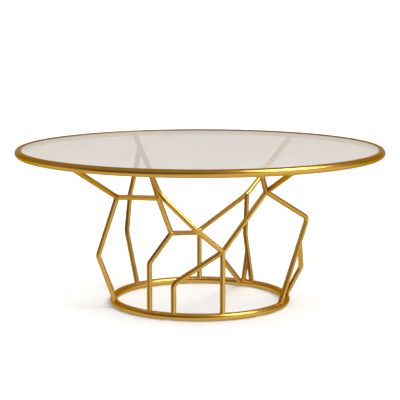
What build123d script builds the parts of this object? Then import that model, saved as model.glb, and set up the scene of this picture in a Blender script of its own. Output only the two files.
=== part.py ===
"""Round coffee table: a glass disc in a tube rim, on a cage of bent and welded tube.

The frame is one weldment of gilded steel tube: a rebated rim, a floor ring, and irregular
bent rods between them. The glass disc drops into the rim's rebate, on clear bumpers.

Frame: millimetres, +Z up, origin on the floor under the middle of the table.
Bearings are in degrees, counter-clockwise seen from above, from +X. -Y is the front.
"""
from build123d import *
import math
import os

os.makedirs("parts", exist_ok=True)

# ---------------------------------------------------------------- overall sizes
table_diameter = 1067.0     # outside of the rim
table_height = 457.0        # floor to the top of the rim
base_ring_diameter = 527.0  # outside of the floor ring

# ---------------------------------------------------------------- tubes
rim_tube_diameter = 22.2
rim_tube_wall = 1.6
base_tube_diameter = 20.0
base_tube_wall = 1.6
rod_diameter = 15.0
rod_wall = 1.5
weld_build_up = 0.8         # how far a ground weld stands proud of the rods it joins
cope_gap = 0.02             # fit-up gap between a coped end and the rod it meets
sharp_bend = 15.0           # centreline radius of the sharpest bends in a rod
tight_bend = 26.0           # the usual hand bend
easy_bend = 60.0            # a swept bend
drain_hole_diameter = 4.0   # lets plating solution out of the two rings

# ---------------------------------------------------------------- glass and its seat
glass_thickness = 6.0
glass_edge_round = 1.0
glass_edge_gap = 0.5        # all round, between the glass and the rebate's wall
rebate_lip = 6.3            # from the rim tube's centreline in to the rebate's wall
rebate_rise = 1.7           # from the rim tube's centre up to the rebate's ledge
rod_ledge_clearance = 0.3   # from the weld on a rod's upper end to the ledge
bumper_count = 6
bumper_thickness = 1.0
bumper_length = 30.0
bumper_ledge_margin = 0.5   # bumper's inner edge to the ledge's inner edge

# ---------------------------------------------------------------- floor glides
pad_count = 6
pad_thickness = 1.5         # floor to the underside of the base ring
pad_width = 12.0
pad_length = 24.0
pad_flank = 1.5             # how far a pad's sides come up round the tube
first_pad_bearing = 10.0
first_bumper_bearing = 15.0
drain_bearings = (40.0, 220.0)

# ---------------------------------------------------------------- worked out from the above
rod_radius = rod_diameter / 2
rim_tube_radius = rim_tube_diameter / 2
base_tube_radius = base_tube_diameter / 2
rim_radius = table_diameter / 2 - rim_tube_radius
rim_height = table_height - rim_tube_radius
base_radius = base_ring_diameter / 2 - base_tube_radius
base_height = pad_thickness + base_tube_radius
rebate_radius = rim_radius - rebate_lip
ledge_height = rim_height + rebate_rise
ledge_inner_radius = rim_radius - math.sqrt(rim_tube_radius**2 - rebate_rise**2)
weld_radius = rod_radius + weld_build_up
rod_end_height = ledge_height - rod_ledge_clearance - weld_radius
glass_radius = rebate_radius - glass_edge_gap
glass_bottom = ledge_height + bumper_thickness


# ================================================================ places on the frame
def polar(bearing, radius, height):
    """Point at a bearing, a distance from the table's axis and a height."""
    angle = math.radians(bearing)
    return Vector(radius * math.cos(angle), radius * math.sin(angle), height)


def lattice(bearing, outset, rise):
    """Point `outset` mm outside the base ring's centreline, and `rise` of the way up to the rim."""
    height = base_height + rise * (rim_height - base_height)
    return polar(bearing, base_radius + outset, height)


def foot(bearing):
    """Where a rod's centreline ends in the base ring."""
    return polar(bearing, base_radius, base_height)


def under_rim(bearing):
    """Where a rod's centreline ends under the rim, low enough to stay clear of the ledge."""
    return polar(bearing, rim_radius, rod_end_height)


def along(start, end, share):
    """Point a share of the way from one point to another."""
    return start + (end - start) * share


# Bends and joints of the rods, named by where they are. Left is -X, front is -Y.
left_knee = lattice(208.2, 12, 0.728)
left_belly = lattice(199.7, 55, 0.330)
left_fork = lattice(237.8, -1, 0.903)
left_hub = lattice(244.5, 12, 0.760)
inner_hub = lattice(250.7, -13, 0.531)
front_left_shin = lattice(236.3, 0, 0.330)
diagonal_shoulder = lattice(248.3, 37, 0.787)
diagonal_middle = lattice(268.0, 15, 0.564)
front_hub = lattice(284.3, 0, 0.419)
kick_bend = lattice(253.2, 0, 0.210)
right_hub = lattice(310.5, 27, 0.792)
right_elbow = lattice(352.6, 59, 0.561)
fork_elbow = lattice(1.9, 44, 0.208)
back_hub = lattice(59.4, 32, 0.624)
back_corner = lattice(92.6, 0, 0.343)
back_right_bend = lattice(58.2, 12, 0.345)
back_left_shoulder = lattice(137.2, 37, 0.642)
back_left_belly = lattice(141.5, 32, 0.382)

# Ends of the rods, on the floor ring and under the rim.
left_foot = foot(197.9)
front_left_foot = foot(236.3)
kick_foot = foot(253.2)
front_foot = foot(284.3)
right_foot = foot(333.8)
fork_foot = foot(5.0)
back_right_foot = foot(50.9)
prop_foot = foot(58.0)
brace_foot = foot(60.6)
back_foot = foot(90.4)
back_left_foot = foot(138.9)
left_strut_end = under_rim(231.9)
left_beam_end = under_rim(113.9)
front_strut_end = under_rim(287.5)
right_strut_end = under_rim(296.6)
right_beam_end = under_rim(56.2)

# Places partway along a rod, where another is welded to it.
left_beam_branch = along(left_beam_end, left_fork, 0.38)
back_post_top = along(back_hub, back_corner, 0.94)
front_post_side = along(front_hub, front_foot, 0.112)
right_leg_side = along(right_elbow, right_foot, 0.28)
back_right_fork = along(back_right_bend, back_right_foot, 0.33)

# Each rod: its name, its path from end to end, the radius of each bend along that path, and
# where it carries a ground weld. A rod is coped to those above it in the list.
rods = [
    ("front_post", [front_hub, front_foot], [], [front_hub]),
    ("left_beam", [left_beam_end, left_fork], [], [left_beam_end, left_fork]),
    ("left_fork_strut", [left_fork, left_hub], [], [left_hub]),
    (
        "front_left_leg",
        [inner_hub, front_left_shin, front_left_foot],
        [tight_bend],
        [inner_hub],
    ),
    ("left_hub_strut", [left_hub, inner_hub], [], []),
    ("right_leg", [right_hub, right_elbow, right_foot], [sharp_bend], [right_hub]),
    ("left_leg", [left_knee, left_belly, left_foot], [tight_bend], [left_knee]),
    (
        "right_beam",
        [right_beam_end, back_hub, back_corner, inner_hub],
        [easy_bend, tight_bend],
        [right_beam_end, back_hub],
    ),
    (
        "back_left_leg",
        [left_beam_branch, back_left_shoulder, back_left_belly, back_left_foot],
        [easy_bend, easy_bend],
        [],
    ),
    ("back_right_leg", [back_hub, back_right_bend, back_right_foot], [easy_bend], []),
    ("back_right_prop", [back_right_fork, prop_foot], [], []),
    ("back_post", [back_post_top, back_foot], [], []),
    (
        "left_diagonal",
        [left_fork, diagonal_shoulder, diagonal_middle, front_hub],
        [easy_bend, easy_bend],
        [],
    ),
    ("right_diagonal", [right_hub, front_hub], [], []),
    ("left_rim_strut", [left_strut_end, left_knee], [], [left_strut_end]),
    ("front_rim_strut", [front_strut_end, right_hub], [], [front_strut_end]),
    ("right_rim_strut", [right_strut_end, right_hub], [], [right_strut_end]),
    ("left_strut", [left_knee, left_hub], [], []),
    ("kick_leg", [front_hub, kick_bend, kick_foot], [tight_bend], []),
    ("fork_leg", [right_leg_side, fork_elbow, fork_foot], [tight_bend], []),
    ("floor_brace", [front_post_side, brace_foot], [], []),
]


# ================================================================ rings
def ring(radius, height, tube_radius):
    """Solid round bar bent into a full circle about the table's axis."""
    section = Plane.XZ * Pos(radius, height) * Circle(tube_radius)
    return revolve(section, Axis.Z)


def rebate(outer_radius, floor_height):
    """Everything inside a radius and above a height, as a profile to cut the rim with."""
    tall = 2 * rim_tube_diameter
    return Plane.XZ * Pos(outer_radius, floor_height) * Rectangle(
        tall, tall, align=(Align.MAX, Align.MIN)
    )


def drains(radius, height):
    """Upright drills through the underside of a ring."""
    drill = Cylinder(
        drain_hole_diameter / 2, rim_tube_diameter, align=(Align.CENTER, Align.CENTER, Align.MAX)
    )
    return [Pos(*polar(bearing, radius, height)) * drill for bearing in drain_bearings]


def top_rim():
    """Round tube with a rolled rebate that seats the glass."""
    outside = Plane.XZ * Pos(rim_radius, rim_height) * Circle(rim_tube_radius)
    outside -= rebate(rebate_radius, ledge_height)
    inside = Plane.XZ * Pos(rim_radius, rim_height) * Circle(rim_tube_radius - rim_tube_wall)
    inside -= rebate(rebate_radius + rim_tube_wall, ledge_height - rim_tube_wall)
    shell = revolve(outside - inside, Axis.Z)
    return shell - drains(rim_radius, rim_height)


def base_ring():
    """Round tube ring that stands on the floor glides."""
    shell = ring(base_radius, base_height, base_tube_radius)
    shell -= ring(base_radius, base_height, base_tube_radius - base_tube_wall)
    return shell - drains(base_radius, base_height)


# ================================================================ rods
def centreline(path, bends):
    """Straight runs joined by tangent arcs."""
    if not bends:
        return Line(*path)
    return FilletPolyline(*path, radius=bends)


def bar(line, radius):
    """Round bar along a rod's centreline."""
    return sweep(Plane(origin=line @ 0, z_dir=line % 0) * Circle(radius), path=line)


def weld_ball(place, line, radius):
    """Ground weld, centred on the part of the rod that is nearest to the joint."""
    centre = line.distance_to_with_closest_points(place)[1]
    along_rod = line % line.param_at_point(centre)
    return Plane(origin=centre, z_dir=along_rod) * Sphere(radius)


def rod_blank(line, welds, gap=0):
    """Rod as bent, before coping: full to the middle, with its ground welds.

    With a gap it is the cutter that copes other rods to this one.
    """
    blank = bar(line, rod_radius + gap)
    for place in welds:
        blank += weld_ball(place, line, weld_radius + gap)
    return blank


def main_piece(shape):
    """The rod itself, without the slip of metal that a cope can leave past the joint."""
    return max(shape.solids(), key=lambda solid: solid.volume)


def near(one, other):
    """True where two shapes' boxes meet."""
    a = one.bounding_box()
    b = other.bounding_box()
    apart_x = a.min.X > b.max.X or b.min.X > a.max.X
    apart_y = a.min.Y > b.max.Y or b.min.Y > a.max.Y
    apart_z = a.min.Z > b.max.Z or b.min.Z > a.max.Z
    return not (apart_x or apart_y or apart_z)


def coped_rods():
    """Every rod as a tube, cut to the rings and to the rods that were placed before it."""
    placed = [
        ring(rim_radius, rim_height, rim_tube_radius),
        ring(base_radius, base_height, base_tube_radius),
    ]
    tubes = {}
    for name, path, bends, welds in rods:
        line = centreline(path, bends)
        tube = rod_blank(line, welds)
        for other in placed:
            if near(tube, other):
                tube = main_piece(tube - other)
        tubes[name] = main_piece(tube - bar(line, rod_radius - rod_wall))
        placed.append(rod_blank(line, welds, cope_gap))
    return tubes


# ================================================================ glass, bumpers and glides
def glass_top():
    """Glass disc with a rounded, polished edge."""
    disc = Pos(0, 0, glass_bottom) * Cylinder(
        glass_radius, glass_thickness, align=(Align.CENTER, Align.CENTER, Align.MIN)
    )
    return fillet(disc.edges().filter_by(GeomType.CIRCLE), glass_edge_round)


def arc_block(inner_radius, outer_radius, bottom, top, bearing, length):
    """Short block that follows a ring, centred on a bearing."""
    middle_radius = (inner_radius + outer_radius) / 2
    spread = math.degrees(length / middle_radius)
    section = Plane.XZ * Pos(middle_radius, (bottom + top) / 2) * Rectangle(
        outer_radius - inner_radius, top - bottom
    )
    block = revolve(section, Axis.Z, revolution_arc=spread)
    return Rot(0, 0, bearing - spread / 2) * block


def glass_bumper(bearing):
    """Clear bumper on the rim's ledge, under the edge of the glass."""
    inner_radius = ledge_inner_radius + bumper_ledge_margin
    return arc_block(
        inner_radius, glass_radius, ledge_height, glass_bottom, bearing, bumper_length
    )


def floor_pad(bearing):
    """Nylon glide, hollowed on top to sit round the underside of the base ring."""
    block = arc_block(
        base_radius - pad_width / 2,
        base_radius + pad_width / 2,
        0,
        pad_thickness + pad_flank,
        bearing,
        pad_length,
    )
    return block - ring(base_radius, base_height, base_tube_radius)


# ================================================================ output
def write(name, shape):
    """Write one sub-part to its own file."""
    export_step(shape, f"parts/{name}.step")


write("top_rim", top_rim())
write("base_ring", base_ring())
write("glass_top", glass_top())
for name, tube in coped_rods().items():
    write(name, tube)
for number in range(bumper_count):
    bumper_bearing = first_bumper_bearing + number * 360 / bumper_count
    write(f"glass_bumper_{number + 1}", glass_bumper(bumper_bearing))
for number in range(pad_count):
    pad_bearing = first_pad_bearing + number * 360 / pad_count
    write(f"floor_pad_{number + 1}", floor_pad(pad_bearing))
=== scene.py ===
"""Looks for a round coffee table: a glass disc in a gilded tube rim, on a cage of bent tube.

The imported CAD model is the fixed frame. This script gives each CAD piece its finish, and
sets up a plain studio. Metres, +Z up, -Y is the front of the table.
"""

import logging
import math
from dataclasses import dataclass, field
from enum import Enum

import bmesh
import bpy
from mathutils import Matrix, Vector


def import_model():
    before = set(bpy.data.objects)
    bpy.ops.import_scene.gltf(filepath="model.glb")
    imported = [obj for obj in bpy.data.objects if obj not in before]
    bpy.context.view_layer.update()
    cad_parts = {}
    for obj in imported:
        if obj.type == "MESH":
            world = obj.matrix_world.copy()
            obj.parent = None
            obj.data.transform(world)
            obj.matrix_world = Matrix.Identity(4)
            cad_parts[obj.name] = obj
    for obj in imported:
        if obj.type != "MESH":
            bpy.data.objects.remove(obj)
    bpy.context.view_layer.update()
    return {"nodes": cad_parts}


MM = 0.001

log = logging.getLogger("coffee_table")


# ================================================================ the compass
class Side(Enum):
    """Sides of the studio as bearings in degrees, counter-clockwise from above."""

    RIGHT = 0.0
    BACK = 90.0
    LEFT = 180.0
    FRONT = -90.0


# ================================================================ colours and nodes
Colour = tuple[float, float, float, float]


def linear(hex_colour: str) -> Colour:
    """Turn an sRGB hex colour into the linear colour that a shader takes.

    Args:
        hex_colour: Six hex digits after a hash.

    Returns:
        Red, green, blue and an alpha of 1.
    """
    channels = [int(hex_colour[i : i + 2], 16) / 255 for i in (1, 3, 5)]
    red, green, blue = (
        c / 12.92 if c <= 0.04045 else ((c + 0.055) / 1.055) ** 2.4 for c in channels
    )
    return red, green, blue, 1.0


def add_node(
    tree: bpy.types.NodeTree,
    kind: str,
    settings: dict[str, object] | None = None,
    inputs: dict[str | int, object] | None = None,
) -> bpy.types.Node:
    """Add a node with its settings, its constants and its links.

    Args:
        tree: Node tree that gets the node.
        kind: Blender's name for the node's type.
        settings: Properties of the node itself.
        inputs: Value of each input, or the output socket that is linked to it.

    Returns:
        The new node.
    """
    node = tree.nodes.new(kind)
    for name, value in (settings or {}).items():
        setattr(node, name, value)
    for name, value in (inputs or {}).items():
        if isinstance(value, bpy.types.NodeSocket):
            tree.links.new(value, node.inputs[name])
        else:
            node.inputs[name].default_value = value
    return node


def new_material(name: str) -> tuple[bpy.types.Material, bpy.types.Node]:
    """Make a material with one Principled shader.

    Args:
        name: The material's name.

    Returns:
        The material and its Principled shader.
    """
    material = bpy.data.materials.new(name)
    material.use_nodes = True
    material.node_tree.nodes.clear()
    shader = add_node(material.node_tree, "ShaderNodeBsdfPrincipled")
    add_node(
        material.node_tree,
        "ShaderNodeOutputMaterial",
        inputs={"Surface": shader.outputs["BSDF"]},
    )
    return material, shader


# ================================================================ finishes
@dataclass(frozen=True)
class GildedSteel:
    """Steel tube, ground smooth at the welds, then plated a satin yellow gold.

    The plating shows the studio as broad soft streaks along each tube, with a faint waviness
    where the tube was polished by hand.
    """

    colour: str = "#C89C46"
    edge_colour: str = "#DDBF85"
    roughness: float = 0.24
    roughness_swing: float = 0.015
    polish_size: float = 45 * MM
    polish_detail: float = 3.0
    polish_low: float = 0.3
    polish_high: float = 0.7
    wave_size: float = 18 * MM
    wave_depth: float = 0.004 * MM

    def build(self) -> bpy.types.Material:
        """Build the plated metal material."""
        material, shader = new_material("satin_gilded_steel")
        tree = material.node_tree
        place = add_node(tree, "ShaderNodeTexCoord")
        patches = add_node(
            tree,
            "ShaderNodeTexNoise",
            inputs={
                "Vector": place.outputs["Object"],
                "Scale": 1 / self.polish_size,
                "Detail": self.polish_detail,
            },
        )
        gloss = add_node(
            tree,
            "ShaderNodeMapRange",
            inputs={
                "Value": patches.outputs["Fac"],
                "From Min": self.polish_low,
                "From Max": self.polish_high,
                "To Min": self.roughness - self.roughness_swing,
                "To Max": self.roughness + self.roughness_swing,
            },
        )
        waves = add_node(
            tree,
            "ShaderNodeTexNoise",
            inputs={"Vector": place.outputs["Object"], "Scale": 1 / self.wave_size},
        )
        bump = add_node(
            tree,
            "ShaderNodeBump",
            inputs={
                "Strength": 1.0,
                "Distance": self.wave_depth,
                "Height": waves.outputs["Fac"],
            },
        )
        shader.inputs["Base Color"].default_value = linear(self.colour)
        shader.inputs["Specular Tint"].default_value = linear(self.edge_colour)
        shader.inputs["Metallic"].default_value = 1.0
        tree.links.new(gloss.outputs["Result"], shader.inputs["Roughness"])
        tree.links.new(bump.outputs["Normal"], shader.inputs["Normal"])
        return material


@dataclass(frozen=True)
class TableGlass:
    """Clear float glass with polished edges.

    It is nearly colourless face on, and at a low angle it is mostly a pale reflection.
    """

    colour: str = "#F6F4EE"
    ior: float = 1.5
    coat: float = 1.0

    def build(self) -> bpy.types.Material:
        """Build the clear glass material."""
        material, shader = new_material("clear_float_glass")
        shader.inputs["Base Color"].default_value = linear(self.colour)
        shader.inputs["Roughness"].default_value = 0.0
        shader.inputs["IOR"].default_value = self.ior
        shader.inputs["Transmission Weight"].default_value = 1.0
        shader.inputs["Coat Weight"].default_value = self.coat
        shader.inputs["Coat Roughness"].default_value = 0.0
        return material


@dataclass(frozen=True)
class ClearBumper:
    """Soft clear vinyl, moulded: a cloudy, slightly glossy strip."""

    colour: str = "#E4E2DA"
    roughness: float = 0.35
    ior: float = 1.53
    clearness: float = 0.6

    def build(self) -> bpy.types.Material:
        """Build the soft vinyl material."""
        material, shader = new_material("clear_vinyl")
        shader.inputs["Base Color"].default_value = linear(self.colour)
        shader.inputs["Roughness"].default_value = self.roughness
        shader.inputs["IOR"].default_value = self.ior
        shader.inputs["Transmission Weight"].default_value = self.clearness
        return material


@dataclass(frozen=True)
class NylonGlide:
    """Moulded nylon, pale and waxy, with a dull sheen."""

    colour: str = "#D9D4C6"
    roughness: float = 0.5

    def build(self) -> bpy.types.Material:
        """Build the nylon material."""
        material, shader = new_material("moulded_nylon")
        shader.inputs["Base Color"].default_value = linear(self.colour)
        shader.inputs["Roughness"].default_value = self.roughness
        return material


@dataclass(frozen=True)
class StudioPaint:
    """Flat white paint on the studio floor, with no gloss of its own."""

    colour: str = "#F6F6F6"

    def build(self) -> bpy.types.Material:
        """Build the floor's material."""
        material, shader = new_material("studio_floor_paint")
        shader.inputs["Base Color"].default_value = linear(self.colour)
        shader.inputs["Roughness"].default_value = 1.0
        shader.inputs["Specular IOR Level"].default_value = 0.0
        return material


@dataclass(frozen=True)
class RoomTones:
    """What the tubes mirror: the room as a band round the horizon over a bright floor.

    Each tone is a bearing and a brightness. The front left of the room is darkest, so that
    each tube has a dark stripe to the left of its middle and a bright one to the right. The
    depth makes dark parts brown and bright parts cream. The three changes are heights at
    which one layer of the room gives way to the next, as the upward part of a direction.
    """

    horizon: tuple[tuple[float, float], ...] = (
        (Side.FRONT.value - 90.0, 0.36),
        (Side.FRONT.value - 60.0, 0.15),
        (Side.FRONT.value, 0.15),
        (Side.FRONT.value + 26.0, 0.50),
        (Side.FRONT.value + 50.0, 1.10),
        (Side.RIGHT.value - 5.0, 0.70),
        (Side.RIGHT.value + 25.0, 0.33),
        (Side.BACK.value - 14.0, 0.67),
        (Side.BACK.value + 14.0, 0.67),
        (Side.BACK.value + 50.0, 0.42),
        (Side.LEFT.value, 0.36),
    )
    floor: tuple[tuple[float, float], ...] = (
        (Side.FRONT.value - 90.0, 1.00),
        (Side.FRONT.value - 68.0, 0.40),
        (Side.FRONT.value - 30.0, 0.34),
        (Side.FRONT.value - 2.0, 0.85),
        (Side.FRONT.value + 36.0, 1.40),
        (Side.RIGHT.value - 10.0, 1.35),
        (Side.RIGHT.value + 30.0, 0.85),
        (Side.BACK.value, 0.75),
        (Side.LEFT.value - 30.0, 1.00),
        (Side.LEFT.value, 1.00),
    )
    underfoot: float = 1.0
    overhead: float = 0.42
    depth: tuple[float, float, float] = (1.0, 1.2, 1.45)
    underfoot_to_floor: tuple[float, float] = (-0.62, -0.34)
    floor_to_horizon: tuple[float, float] = (-0.16, -0.05)
    horizon_to_overhead: tuple[float, float] = (0.30, 0.60)

    def build(self, tree: bpy.types.NodeTree) -> bpy.types.NodeSocket:
        """Build the tones by direction.

        Args:
            tree: The world's node tree.

        Returns:
            The colour that comes from each direction.
        """
        place = add_node(tree, "ShaderNodeTexCoord").outputs["Generated"]
        bearing = add_node(
            tree,
            "ShaderNodeTexGradient",
            settings={"gradient_type": "RADIAL"},
            inputs={"Vector": place},
        ).outputs["Fac"]
        rise = add_node(tree, "ShaderNodeSeparateXYZ", inputs={"Vector": place}).outputs["Z"]
        floor = self.ramp(tree, bearing, self.floor)
        horizon = self.ramp(tree, bearing, self.horizon)
        ground = self.blend(tree, rise, self.underfoot_to_floor, (self.underfoot, floor))
        band = self.blend(tree, rise, self.floor_to_horizon, (ground, horizon))
        whole = self.blend(tree, rise, self.horizon_to_overhead, (band, self.overhead))
        red, green, blue = (
            add_node(
                tree,
                "ShaderNodeMath",
                settings={"operation": "POWER"},
                inputs={0: whole, 1: power},
            ).outputs["Value"]
            for power in self.depth
        )
        return add_node(
            tree,
            "ShaderNodeCombineColor",
            inputs={"Red": red, "Green": green, "Blue": blue},
        ).outputs["Color"]

    def ramp(
        self,
        tree: bpy.types.NodeTree,
        bearing: bpy.types.NodeSocket,
        tones: tuple[tuple[float, float], ...],
    ) -> bpy.types.NodeSocket:
        """Turn a bearing into a brightness.

        Args:
            tree: The world's node tree.
            bearing: The bearing as a share of a turn, with +X at one half.
            tones: Bearings in degrees, in rising order, each with its brightness.

        Returns:
            The brightness.
        """
        curve = add_node(tree, "ShaderNodeValToRGB", inputs={"Fac": bearing})
        stops = curve.color_ramp.elements
        stops.remove(stops[1])
        brightest = max(tone for _, tone in tones)
        for number, (side, tone) in enumerate(tones):
            share = side / 360 + 0.5
            stop = stops.new(share) if number else stops[0]
            stop.position = share
            stop.color = (*[tone / brightest] * 3, 1.0)
        return add_node(
            tree,
            "ShaderNodeMath",
            settings={"operation": "MULTIPLY"},
            inputs={0: curve.outputs["Color"], 1: brightest},
        ).outputs["Value"]

    def blend(
        self,
        tree: bpy.types.NodeTree,
        rise: bpy.types.NodeSocket,
        between: tuple[float, float],
        tones: tuple[object, object],
    ) -> bpy.types.NodeSocket:
        """Go smoothly from one brightness to another as a direction rises.

        Args:
            tree: The world's node tree.
            rise: The upward part of the direction.
            between: Where the change starts and ends.
            tones: The lower and the upper brightness.

        Returns:
            The brightness.
        """
        return add_node(
            tree,
            "ShaderNodeMapRange",
            settings={"interpolation_type": "SMOOTHSTEP"},
            inputs={
                "Value": rise,
                "From Min": between[0],
                "From Max": between[1],
                "To Min": tones[0],
                "To Max": tones[1],
            },
        ).outputs["Result"]


def dress(
    names: list[str],
    material: bpy.types.Material,
    nodes: dict[str, bpy.types.Object],
) -> None:
    """Give CAD pieces their finish.

    Args:
        names: CAD nodes that get the finish.
        material: The finish.
        nodes: Every CAD node by name.
    """
    for name in names:
        piece = nodes[name]
        if not piece.material_slots:
            piece.data.materials.append(material)
        for slot in piece.material_slots:
            slot.material = material
        log.info("%s: %s", name, material.name)


# ================================================================ the table
@dataclass
class GlassTop:
    """The loose glass disc and the clear bumpers under it."""

    glass: TableGlass = field(default_factory=TableGlass)
    bumper: ClearBumper = field(default_factory=ClearBumper)

    def build(self, nodes: dict[str, bpy.types.Object]) -> None:
        """Dress the disc and the bumpers.

        Args:
            nodes: Every CAD node by name.
        """
        dress(["glass_top"], self.glass.build(), nodes)
        nodes["glass_top"].visible_shadow = False
        bumpers = [name for name in nodes if name.startswith("glass_bumper")]
        dress(bumpers, self.bumper.build(), nodes)


@dataclass
class TubeFrame:
    """The welded cage, the rim and the floor ring, with its glides."""

    steel: GildedSteel = field(default_factory=GildedSteel)
    glide: NylonGlide = field(default_factory=NylonGlide)

    def build(self, nodes: dict[str, bpy.types.Object]) -> None:
        """Dress the tubes and the glides.

        Args:
            nodes: Every CAD node by name.
        """
        glides = [name for name in nodes if name.startswith("floor_pad")]
        others = [name for name in nodes if name.startswith("glass_")]
        tubes = [name for name in nodes if name not in glides + others]
        dress(tubes, self.steel.build(), nodes)
        dress(glides, self.glide.build(), nodes)


# ================================================================ the studio
def direction(bearing: float, elevation: float) -> Vector:
    """Point a unit vector.

    Args:
        bearing: Degrees counter-clockwise from +X, seen from above.
        elevation: Degrees above the floor.

    Returns:
        The unit vector.
    """
    turn = math.radians(bearing)
    rise = math.radians(elevation)
    level = math.cos(rise)
    return Vector((math.cos(turn) * level, math.sin(turn) * level, math.sin(rise)))


@dataclass
class Studio:
    """White floor in a grey room, with one soft key light at the right front."""

    floor_size: float = 400.0
    room_colour: str = "#CBCBCB"
    backdrop_colour: str = "#FFFFFF"
    key_bearing: float = 331.0
    key_elevation: float = 46.0
    key_distance: float = 3.6
    key_aim_height: float = 0.3
    key_width: float = 1.9
    key_height: float = 2.0
    key_power: float = 130.0
    fill_bearing: float = 330.0
    fill_elevation: float = 70.0
    fill_power: float = 3.1
    fill_colour: str = "#F9FBFF"
    fill_spread: float = 80.0
    tones: RoomTones = field(default_factory=RoomTones)

    def build(self) -> None:
        """Build the floor, the room and the lights."""
        self.floor()
        self.room()
        self.key_light()
        self.fill_light()

    def floor(self) -> None:
        """Lay a wide white floor."""
        mesh = bpy.data.meshes.new("studio_floor")
        sheet = bmesh.new()
        bmesh.ops.create_grid(sheet, x_segments=1, y_segments=1, size=self.floor_size / 2)
        sheet.to_mesh(mesh)
        sheet.free()
        ground = bpy.data.objects.new("studio_floor", mesh)
        bpy.context.scene.collection.objects.link(ground)
        mesh.materials.append(StudioPaint().build())
        ground.visible_glossy = False

    def room(self) -> None:
        """Light everything evenly: the room's tones in reflections, white where seen directly."""
        world = bpy.data.worlds.new("studio_room")
        bpy.context.scene.world = world
        world.use_nodes = True
        tree = world.node_tree
        tree.nodes.clear()
        path = add_node(tree, "ShaderNodeLightPath")
        room, backdrop = (
            add_node(tree, "ShaderNodeBackground", inputs={"Color": linear(colour)})
            for colour in (self.room_colour, self.backdrop_colour)
        )
        mirrored = add_node(
            tree, "ShaderNodeBackground", inputs={"Color": self.tones.build(tree)}
        )
        bounced = add_node(
            tree,
            "ShaderNodeMath",
            settings={"operation": "SUBTRACT", "use_clamp": True},
            inputs={0: path.outputs["Is Glossy Ray"], 1: path.outputs["Is Transmission Ray"]},
        )
        reflected = add_node(
            tree,
            "ShaderNodeMixShader",
            inputs={
                "Fac": bounced.outputs["Value"],
                1: room.outputs["Background"],
                2: mirrored.outputs["Background"],
            },
        )
        seen = add_node(
            tree,
            "ShaderNodeMixShader",
            inputs={
                "Fac": path.outputs["Is Camera Ray"],
                1: reflected.outputs["Shader"],
                2: backdrop.outputs["Background"],
            },
        )
        add_node(tree, "ShaderNodeOutputWorld", inputs={"Surface": seen.outputs["Shader"]})

    def key_light(self) -> None:
        """Hang the key softbox at the right front, where only reflections see it."""
        light = bpy.data.lights.new("key_softbox", "AREA")
        light.shape = "RECTANGLE"
        light.size = self.key_width
        light.size_y = self.key_height
        light.energy = self.key_power
        lamp = bpy.data.objects.new("key_softbox", light)
        bpy.context.scene.collection.objects.link(lamp)
        lamp.location = self.key_distance * direction(self.key_bearing, self.key_elevation)
        aim = Vector((0, 0, self.key_aim_height)) - lamp.location
        lamp.rotation_euler = aim.to_track_quat("-Z", "Y").to_euler()
        lamp.visible_diffuse = False

    def fill_light(self) -> None:
        """Light the floor evenly from the right front, with soft shadows and no reflection."""
        light = bpy.data.lights.new("fill_light", "SUN")
        light.energy = self.fill_power
        light.color = linear(self.fill_colour)[:3]
        light.angle = math.radians(self.fill_spread)
        lamp = bpy.data.objects.new("fill_light", light)
        bpy.context.scene.collection.objects.link(lamp)
        aim = -direction(self.fill_bearing, self.fill_elevation)
        lamp.rotation_euler = aim.to_track_quat("-Z", "Y").to_euler()
        lamp.visible_glossy = False
        lamp.visible_transmission = False


@dataclass
class Camera:
    """A long lens a little above the table, looking slightly down at its front."""

    distance: float = 3.972
    height: float = 0.8965
    pitch: float = 8.53
    lens: float = 124.1
    sensor: float = 36.0
    sight: float = 1000.0

    def build(self) -> None:
        """Place the camera and use it."""
        data = bpy.data.cameras.new("studio_camera")
        data.lens = self.lens
        data.sensor_width = self.sensor
        data.clip_end = self.sight
        camera = bpy.data.objects.new("studio_camera", data)
        bpy.context.scene.collection.objects.link(camera)
        camera.location = (0, -self.distance, self.height)
        camera.rotation_euler = (math.radians(90 - self.pitch), 0, 0)
        bpy.context.scene.camera = camera


def main() -> None:
    """Build the looks of the table in order, and report each piece."""
    logging.basicConfig(level=logging.INFO, format="%(name)s: %(message)s")
    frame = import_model()
    nodes = frame["nodes"]
    TubeFrame().build(nodes)
    GlassTop().build(nodes)
    Studio().build()
    Camera().build()
    bpy.context.scene.view_settings.view_transform = "Standard"


if __name__ == "__main__":
    main()
